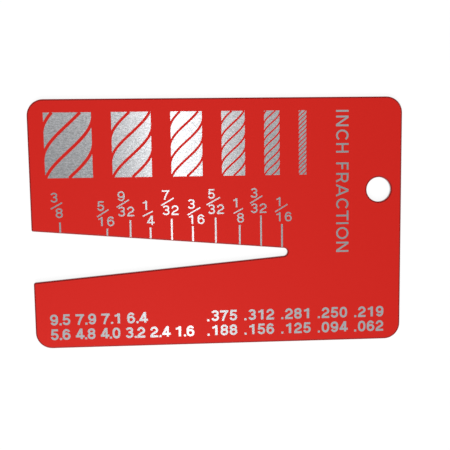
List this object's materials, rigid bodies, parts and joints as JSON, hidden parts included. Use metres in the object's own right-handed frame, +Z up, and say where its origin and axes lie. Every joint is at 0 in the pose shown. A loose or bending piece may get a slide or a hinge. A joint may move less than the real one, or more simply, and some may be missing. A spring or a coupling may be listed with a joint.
{
  "type": "cable diameter gauge",
  "caption": "Flat rectangular gauge card with rounded corners, a tapered measuring slot open at one end, size marks along the slot, and a hang hole.",
  "frame": {"origin": "middle of the card, on its back face, as it lies on a table", "axes": "+X along the card, from the slot's mouth to the hang hole; +Y across the card, towards its top side; +Z up, out of the marked face"},
  "size_m": [0.0762, 0.0508, 0.0008],
  "materials": {
    "red_dyed_aluminium": "satin red dyed sheet, with a slightly darker edge",
    "bare_aluminium": "finely brushed, showing where the dyed skin is etched away"
  },
  "bodies": {
    "root": {"gauge_plate": "red_dyed_aluminium"}
  },
  "joints": []
}
